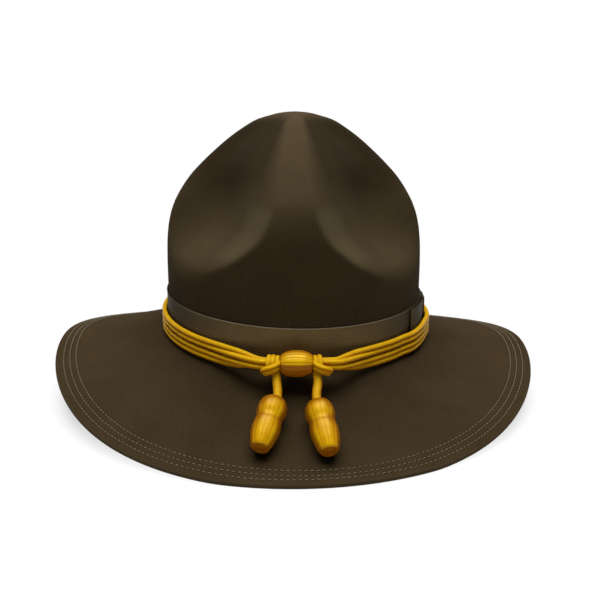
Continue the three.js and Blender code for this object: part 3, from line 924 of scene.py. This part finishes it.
def bow():
    height = BOW_TOP - BOW_BOTTOM
    middle_up = (BOW_BOTTOM + BOW_TOP) / 2
    rings = []
    for share, out in bow_loop():
        angle = math.radians(BOW_FRONT_ANGLE + (BOW_BACK_ANGLE - BOW_FRONT_ANGLE) * share)
        from_waist = min(1.0, abs(share - 0.5) * 4)
        spread = math.sin(from_waist * math.pi / 2)
        half = (BOW_WAIST_HEIGHT + (height - BOW_WAIST_HEIGHT) * spread) / 2
        section = ribbon_section(BOW_PLY - 0.05, half, 33)
        gather = BOW_GATHER * (1 - from_waist) ** 0.6
        gather = gather * np.cos(section[:, 1] / half * BOW_GATHERS * np.pi)
        rings.append(wall_point(np.full(len(section), angle), out + section[:, 0] + gather,
                                middle_up + section[:, 1]))
    piece = ribbon_grid("ribbon_bow_folded", rings, height)
    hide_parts("ribbon_bow")
    finish_piece(piece, "ribbon", grosgrain)


def bow_keeper():
    """A short ribbon that wraps the bow's waist from below to above."""
    half = BOW_WAIST_HEIGHT / 2
    face = BOW_FACE + KEEPER_GAP + KEEPER_THICKNESS - KEEPER_PLY / 2
    back = RIBBON_FACE + KEEPER_PLY / 2
    rising = [(face, half - 2.5), (face - 0.2, half - 0.5),
              (face - 1.2, half + 0.25), (back, half + 0.1)]
    falling = [(out, -up) for out, up in rising[::-1]]
    way = smooth_path([*falling, (face, 0), *rising], 60)
    tangent = unit(np.gradient(way, axis=0))
    side = np.stack([tangent[:, 1], -tangent[:, 0]], -1)
    section = ribbon_section(KEEPER_PLY - SELVEDGE, KEEPER_WIDTH / 2, 25)
    angle = math.radians(BOW_MIDDLE) + section[:, 1] / (CROWN_HALF_WIDTH + BOW_FACE)
    middle_up = (BOW_BOTTOM + BOW_TOP) / 2
    rings = []
    for place, outwards in zip(way, side):
        out = place[0] + outwards[0] * section[:, 0]
        up = middle_up + place[1] + outwards[1] * section[:, 0]
        rings.append(wall_point(angle, out, up))
    points = np.array(rings)
    closing = points.mean(axis=1, keepdims=True)
    points = np.concatenate([np.repeat(closing[:1], len(section), axis=1), points,
                             np.repeat(closing[-1:], len(section), axis=1)])
    piece = shaped_grid("ribbon_bow_keeper_wrap", points, uv_size=(2 * KEEPER_WIDTH, 2.4 * half))
    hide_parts("ribbon_bow_keeper")
    finish_piece(piece, "ribbon", grosgrain)


# Node helpers

def node(tree, kind, settings=None, **inputs):
    """Adds a node. Its inputs take a value, or another node's socket."""
    made = tree.nodes.new(kind)
    for key, value in (settings or {}).items():
        setattr(made, key, value)
    for key, value in inputs.items():
        socket = made.inputs[int(key[1:])] if key[0] == "_" else made.inputs[key.replace("_", " ")]
        if isinstance(value, bpy.types.NodeSocket):
            tree.links.new(value, socket)
        else:
            socket.default_value = value
    return made


def math_node(tree, operation, *values):
    inputs = {f"_{i}": value for i, value in enumerate(values)}
    return node(tree, "ShaderNodeMath", {"operation": operation}, **inputs).outputs[0]


def ranged(tree, value, start, end, low, high, kind="SMOOTHSTEP"):
    """Goes from low to high while a value goes from start to end."""
    return node(tree, "ShaderNodeMapRange", {"interpolation_type": kind},
                _0=value, _1=start, _2=end, _3=low, _4=high).outputs[0]


def blended(tree, share, first, second):
    mix = node(tree, "ShaderNodeMix", {"data_type": "RGBA"}, _0=share, _6=first, _7=second)
    return mix.outputs[2]


def new_group(name, inputs, outputs):
    """A shader node group with named sockets: its tree, its input sockets and its output node."""
    tree = bpy.data.node_groups.new(name, "ShaderNodeTree")
    for key, kind in inputs:
        tree.interface.new_socket(key, in_out="INPUT", socket_type=kind)
    for key, kind in outputs:
        tree.interface.new_socket(key, in_out="OUTPUT", socket_type=kind)
    return tree, tree.nodes.new("NodeGroupInput").outputs, tree.nodes.new("NodeGroupOutput")


def mottled_tone():
    """Two colours mixed by broad clouds and by fine fibres."""
    tree, given, result = new_group(
        "mottled_tone",
        [("Vector", "NodeSocketVector"), ("Dark", "NodeSocketColor"), ("Light", "NodeSocketColor"),
         ("Cloud Scale", "NodeSocketFloat"), ("Fibre Scale", "NodeSocketFloat"),
         ("Fibre Share", "NodeSocketFloat")],
        [("Color", "NodeSocketColor"), ("Fibres", "NodeSocketFloat")],
    )
    cloud = node(tree, "ShaderNodeTexNoise", Vector=given["Vector"], Scale=given["Cloud Scale"],
                 Detail=3.0).outputs[0]
    fibre = node(tree, "ShaderNodeTexNoise", Vector=given["Vector"], Scale=given["Fibre Scale"],
                 Detail=4.0, Roughness=0.62).outputs[0]
    mixed = node(tree, "ShaderNodeMix", {"data_type": "FLOAT"}, _0=given["Fibre Share"],
                 _2=cloud, _3=fibre).outputs[0]
    strong = ranged(tree, mixed, 0.3, 0.7, 0.0, 1.0, "LINEAR")
    tree.links.new(blended(tree, strong, given["Dark"], given["Light"]), result.inputs["Color"])
    tree.links.new(fibre, result.inputs["Fibres"])
    return tree


def thread_ridges():
    """Round ridges with sharp grooves, one for each whole step of Count."""
    tree, given, result = new_group(
        "thread_ridges",
        [("Count", "NodeSocketFloat"), ("Roundness", "NodeSocketFloat")],
        [("Height", "NodeSocketFloat")],
    )
    turn = math_node(tree, "MULTIPLY", given["Count"], math.pi)
    wave = math_node(tree, "ABSOLUTE", math_node(tree, "SINE", turn))
    tree.links.new(math_node(tree, "POWER", wave, given["Roundness"]), result.inputs["Height"])
    return tree


GROUPS = {"tone": mottled_tone(), "threads": thread_ridges()}


def group_node(tree, group, **inputs):
    return node(tree, "ShaderNodeGroup", {"node_tree": GROUPS[group]}, **inputs).outputs


def object_place(tree):
    return node(tree, "ShaderNodeTexCoord").outputs["Object"]


def attribute(tree, name):
    return node(tree, "ShaderNodeAttribute", {"attribute_name": name}).outputs["Fac"]


def along_and_round(tree):
    """The piece's own UV map: the share round it or across it, and the length in millimetres."""
    uv = node(tree, "ShaderNodeUVMap", {"uv_map": "UVMap"}).outputs[0]
    return node(tree, "ShaderNodeSeparateXYZ", Vector=uv).outputs[:2]


def turned_away(tree, end, share):
    """Painted shade mask: grows from 0 on faces that look at the viewer to a share on those looking
    away.
    """
    facing = node(tree, "ShaderNodeLayerWeight", Blend=0.5).outputs["Facing"]
    return ranged(tree, facing, 0.1, end, 0.0, share)


def bumped(tree, shader, height, distance, strength, under=None):
    inputs = {"Height": height, "Distance": distance, "Strength": strength}
    if under is not None:
        inputs["Normal"] = under
    made = node(tree, "ShaderNodeBump", **inputs).outputs[0]
    tree.links.new(made, shader.inputs["Normal"])
    return made


# Materials

# Colours are linear, and their names say where they show. The felt's colours for the dents and the
# creases are painted shade and painted light. The gold's colours for faces that look down, faces
# turned away and between threads, and the ribbon's for faces turned away and between ribs, are
# painted shade.
# The ribbon's line along its top edge is a painted highlight. Clouds and fibres are the scales of
# the mottling, fibre_share is how much the fibres count, and relief is the threads' depth in
# metres.
PLAIN = {"gloss": 0.5, "tint": WHITE}
FELT_FINISH = {
    "dark": (0.022, 0.0141, 0.0065, 1),
    "light": (0.044, 0.0295, 0.0137, 1),
    # Painted shade in the dents and on the flanks
    "painted_shade": (0.0125, 0.0086, 0.0036, 1),
    # Painted light along and above the front creases
    "painted_light": (0.082, 0.0635, 0.0325, 1),
    "edge": (0.056, 0.041, 0.022, 1),
    "clouds": 35.0, "fibres": 1300.0, "fibre_share": 0.72,
    "roughness": 0.92, "gloss": 0.05, "tint": (1.0, 0.85, 0.6, 1), "relief": 0.0004,
}
RIBBON_FINISH = {
    **PLAIN,
    "dark": (0.105, 0.071, 0.0285, 1),
    "light": (0.152, 0.104, 0.044, 1),
    "groove": (0.1, 0.067, 0.026, 1),
    "top_highlight": (0.2, 0.18, 0.14, 1),
    "edge": (0.03, 0.0225, 0.0115, 1),
    "clouds": 60.0, "fibres": 1400.0, "fibre_share": 0.4,
    "roughness": 0.62, "gloss": 0.1, "relief": 0.00012,
    "rib_pitch": 0.9, "rib_roundness": 0.8,
}
STITCH_FINISH = {
    **PLAIN,
    "dark": (0.09, 0.068, 0.037, 1),
    "light": (0.15, 0.116, 0.066, 1),
    "clouds": 200.0, "fibres": 2500.0, "fibre_share": 0.5,
    "roughness": 0.7, "relief": 0.0001,
}
RAYON = {"clouds": 150.0, "fibres": 1600.0, "fibre_share": 0.2, "tint": (1.0, 0.78, 0.2, 1)}
CORD_FINISH = {
    **RAYON,
    "dark": (0.64, 0.35, 0.004, 1),
    "light": (0.8, 0.49, 0.008, 1),
    "groove": (0.56, 0.26, 0.001, 1),
    "edge": (0.4, 0.16, 0.001, 1), "edge_shade_share": 0.2,
    "under": (0.46, 0.17, 0.001, 1),
    "roughness": 0.4, "gloss": 0.15, "relief": 0.0001,
    "threads": 12.0, "thread_roundness": 0.5, "thread_pitch": 5.0,
}
BRAID_FINISH = {
    **RAYON,
    "dark": (0.55, 0.28, 0.003, 1),
    "light": (0.7, 0.41, 0.006, 1),
    "groove": (0.42, 0.15, 0.001, 1),
    "edge": (0.28, 0.095, 0.001, 1), "edge_shade_share": 0.6,
    "under": (0.36, 0.115, 0.001, 1),
    "roughness": 0.45, "gloss": 0.2, "relief": 0.0003,
    "threads": 8.0, "thread_roundness": 0.7, "thread_pitch": 1.5,
}
FLOSS = {**RAYON, "edge_shade_share": 0.95, "roughness": 0.32, "relief": 0.00006, "thread_roundness": 0.3}
# The slide's floss is a lighter copy of the acorns': painted light on the slide
SLIDE_FINISH = {
    **FLOSS,
    "dark": (0.62, 0.33, 0.003, 1),
    "light": (0.8, 0.48, 0.006, 1),
    "groove": (0.4, 0.15, 0.001, 1),
    "edge": (0.34, 0.12, 0.001, 1),
    "under": (0.3, 0.09, 0.001, 1),
    "gloss": 0.42, "threads": 16.0,
}
# The acorns' floss is a darker copy of the slide's: painted shade on the acorns
ACORN_FINISH = {
    **FLOSS,
    "dark": (0.5, 0.25, 0.002, 1),
    "light": (0.66, 0.385, 0.004, 1),
    "groove": (0.4, 0.16, 0.001, 1),
    "edge": (0.22, 0.07, 0.001, 1),
    "under": (0.3, 0.09, 0.001, 1),
    "gloss": 0.24, "threads": 20.0,
}

# Where the painted highlight along the ribbon's top edge lies across it, and how far from a row of
# stitches the felt dips
TOP_HIGHLIGHT_AT = 22.9
DIP_REACH = 1.3


def new_material(name):
    material = bpy.data.materials.new(name)
    material.use_nodes = True
    return material, material.node_tree, material.node_tree.nodes["Principled BSDF"]


def finished_material(name, finish):
    """A material with a finish's gloss, and the mottled tone between its dark and light colours."""
    material, tree, shader = new_material(name)
    shader.inputs["Roughness"].default_value = finish["roughness"]
    shader.inputs["Specular IOR Level"].default_value = finish["gloss"]
    shader.inputs["Specular Tint"].default_value = finish["tint"]
    tone = group_node(tree, "tone", Vector=object_place(tree), Dark=finish["dark"],
                      Light=finish["light"], Cloud_Scale=finish["clouds"],
                      Fibre_Scale=finish["fibres"], Fibre_Share=finish["fibre_share"])
    return material, tree, shader, tone


def felt_material():
    material, tree, shader, tone = finished_material("felt", FELT_FINISH)
    inset = attribute(tree, "inset")
    colour = tone["Color"]
    # Painted shade in the dents, painted light at the front creases, and the brim's lighter cut
    # edge
    for mark, share, shown in (
        (attribute(tree, "painted_shade"), 0.6, "painted_shade"),
        (attribute(tree, "painted_light"), 0.6, "painted_light"),
        (ranged(tree, inset, 0.0, 1.4, 1.0, 0.0, "LINEAR"), 0.5, "edge"),
    ):
        colour = blended(tree, math_node(tree, "MULTIPLY", mark, share), colour, FELT_FINISH[shown])
    tree.links.new(colour, shader.inputs["Base Color"])
    nap = bumped(tree, shader, tone["Fibres"], FELT_FINISH["relief"], 0.6)
    dips = None
    for row in STITCH_INSETS:
        off = math_node(tree, "ABSOLUTE", math_node(tree, "SUBTRACT", inset, row))
        dip = ranged(tree, off, 0.0, DIP_REACH, 0.0, 1.0)
        dips = dip if dips is None else math_node(tree, "MINIMUM", dips, dip)
    bumped(tree, shader, dips, FELT_FINISH["relief"], 0.8, nap)
    return material


def grosgrain_material():
    finish = RIBBON_FINISH
    material, tree, shader, tone = finished_material("grosgrain", finish)
    across, _ = along_and_round(tree)
    count = math_node(tree, "DIVIDE", across, finish["rib_pitch"])
    ribs = group_node(tree, "threads", Count=count, Roundness=finish["rib_roundness"])["Height"]
    # Painted highlight: a light line along the ribbon's top edge
    from_edge = math_node(tree, "ABSOLUTE", math_node(tree, "SUBTRACT", across, TOP_HIGHLIGHT_AT))
    top_highlight = ranged(tree, from_edge, 0.25, 0.7, 0.5, 0.0)
    # Painted shade: darker between the ribs
    colour = blended(tree, ribs, finish["groove"], tone["Color"])
    colour = blended(tree, top_highlight, colour, finish["top_highlight"])
    # Painted shade: darker on faces that turn away from the viewer
    colour = blended(tree, turned_away(tree, 0.75, 0.9), colour, finish["edge"])
    tree.links.new(colour, shader.inputs["Base Color"])
    bumped(tree, shader, ribs, finish["relief"], 0.8)
    return material


def threads(tree, finish, slant=None):
    """Height of threads that run along a piece, or slant round it one way or the other."""
    around, along = along_and_round(tree)
    count = math_node(tree, "MULTIPLY", around, finish["threads"])
    if slant:
        turns = math_node(tree, "DIVIDE", along, finish["thread_pitch"])
        count = math_node(tree, slant, count, turns)
    return group_node(tree, "threads", Count=count, Roundness=finish["thread_roundness"])["Height"]


def laid_threads(tree, finish):
    return threads(tree, finish, "ADD")


def braided_threads(tree, finish):
    one_way, other_way = threads(tree, finish, "ADD"), threads(tree, finish, "SUBTRACT")
    return math_node(tree, "MAXIMUM", one_way, other_way)


def gold_material(name, finish, thread_height):
    """The rayon of the cord, the braid and the floss, with the relief of its threads."""
    material, tree, shader, tone = finished_material(name, finish)
    height = thread_height(tree, finish)
    # Painted shade: deeper orange between the threads
    colour = blended(tree, height, finish["groove"], tone["Color"])
    # Painted shade: darker orange on faces that turn away from the viewer
    colour = blended(tree, turned_away(tree, 0.62, finish["edge_shade_share"]), colour, finish["edge"])
    # Painted shade: deeper orange on faces that look down
    colour = blended(tree, attribute(tree, "under"), colour, finish["under"])
    tree.links.new(colour, shader.inputs["Base Color"])
    bumped(tree, shader, height, finish["relief"], 0.8)
    return material


def stitch_material():
    material, tree, shader, tone = finished_material("stitch_thread", STITCH_FINISH)
    tree.links.new(tone["Color"], shader.inputs["Base Color"])
    bumped(tree, shader, tone["Fibres"], STITCH_FINISH["relief"], 0.5)
    return material


felt = felt_material()
grosgrain = grosgrain_material()
laid_cord = gold_material("laid_cord", CORD_FINISH, laid_threads)
braided_cord = gold_material("braided_cord", BRAID_FINISH, braided_threads)
slide_floss = gold_material("slide_floss", SLIDE_FINISH, threads)
acorn_floss = gold_material("acorn_floss", ACORN_FINISH, threads)
stitch_thread = stitch_material()


def paint_shade_underneath(piece, shade_span):
    """Painted shade: an attribute that is 0 on faces that look up and 1 on those that look down."""
    under = smooth_step(*shade_span, vertex_values(piece, "normal")[:, 2])
    piece.data.attributes.new("under", "FLOAT", "POINT").data.foreach_set("value", under)


def finish_piece(piece, slot, material, shade_span=CORD_SHADE_SPAN):
    if slot.startswith("gold"):
        paint_shade_underneath(piece, shade_span)
    piece.data.materials.clear()
    piece.data.materials.append(material)
    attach(piece, "root")


# Stage and light

def pale_floor():
    """A floor that is plain white to the camera away from the hat."""
    deselect()
    bpy.ops.mesh.primitive_plane_add(size=FLOOR_SIZE, location=(0, 0, -0.0002))
    floor = bpy.context.object
    floor.name = "pale_floor"
    material, tree, shader = new_material("pale_floor")
    shader.inputs["Base Color"].default_value = FLOOR_COLOUR
    shader.inputs["Roughness"].default_value = 0.9
    place = object_place(tree)
    radius = node(tree, "ShaderNodeVectorMath", {"operation": "LENGTH"}, _0=place).outputs["Value"]
    far = ranged(tree, radius, *FLOOR_FADE, 0.0, 1.0)
    glow = node(tree, "ShaderNodeEmission", Color=WHITE, Strength=1.0).outputs[0]
    seen = node(tree, "ShaderNodeLightPath").outputs["Is Camera Ray"]
    mixed = node(tree, "ShaderNodeMixShader", _0=math_node(tree, "MULTIPLY", far, seen),
                 _1=shader.outputs[0], _2=glow).outputs[0]
    tree.links.new(mixed, tree.nodes["Material Output"].inputs[0])
    floor.data.materials.append(material)


def studio_light():
    """A square lamp over the hat, and a room that is white to the camera and dim to the hat."""
    world = bpy.data.worlds.new("studio")
    bpy.context.scene.world = world
    world.use_nodes = True
    tree = world.node_tree
    tree.nodes.clear()
    seen = node(tree, "ShaderNodeBackground", Color=WHITE, Strength=1.0).outputs[0]
    lighting = node(tree, "ShaderNodeBackground", Color=WHITE, Strength=ROOM_STRENGTH).outputs[0]
    by_camera = node(tree, "ShaderNodeLightPath").outputs["Is Camera Ray"]
    mixed = node(tree, "ShaderNodeMixShader", _0=by_camera, _1=lighting, _2=seen).outputs[0]
    tree.links.new(mixed, node(tree, "ShaderNodeOutputWorld").inputs[0])
    data = bpy.data.lights.new("overhead_softbox", "AREA")
    data.shape = "SQUARE"
    data.size = LAMP_SIZE
    data.energy = LAMP_ENERGY
    lamp = bpy.data.objects.new("overhead_softbox", data)
    lamp.location = LAMP_PLACE
    lamp.visible_camera = False
    bpy.context.scene.collection.objects.link(lamp)


bpy.context.scene.view_settings.view_transform = "Standard"
add_camera()
cord_strands()
knots()
drops()
slide()
acorns()
felt_body()
stitches()
ribbon_band()
bow()
bow_keeper()
pale_floor()
studio_light()
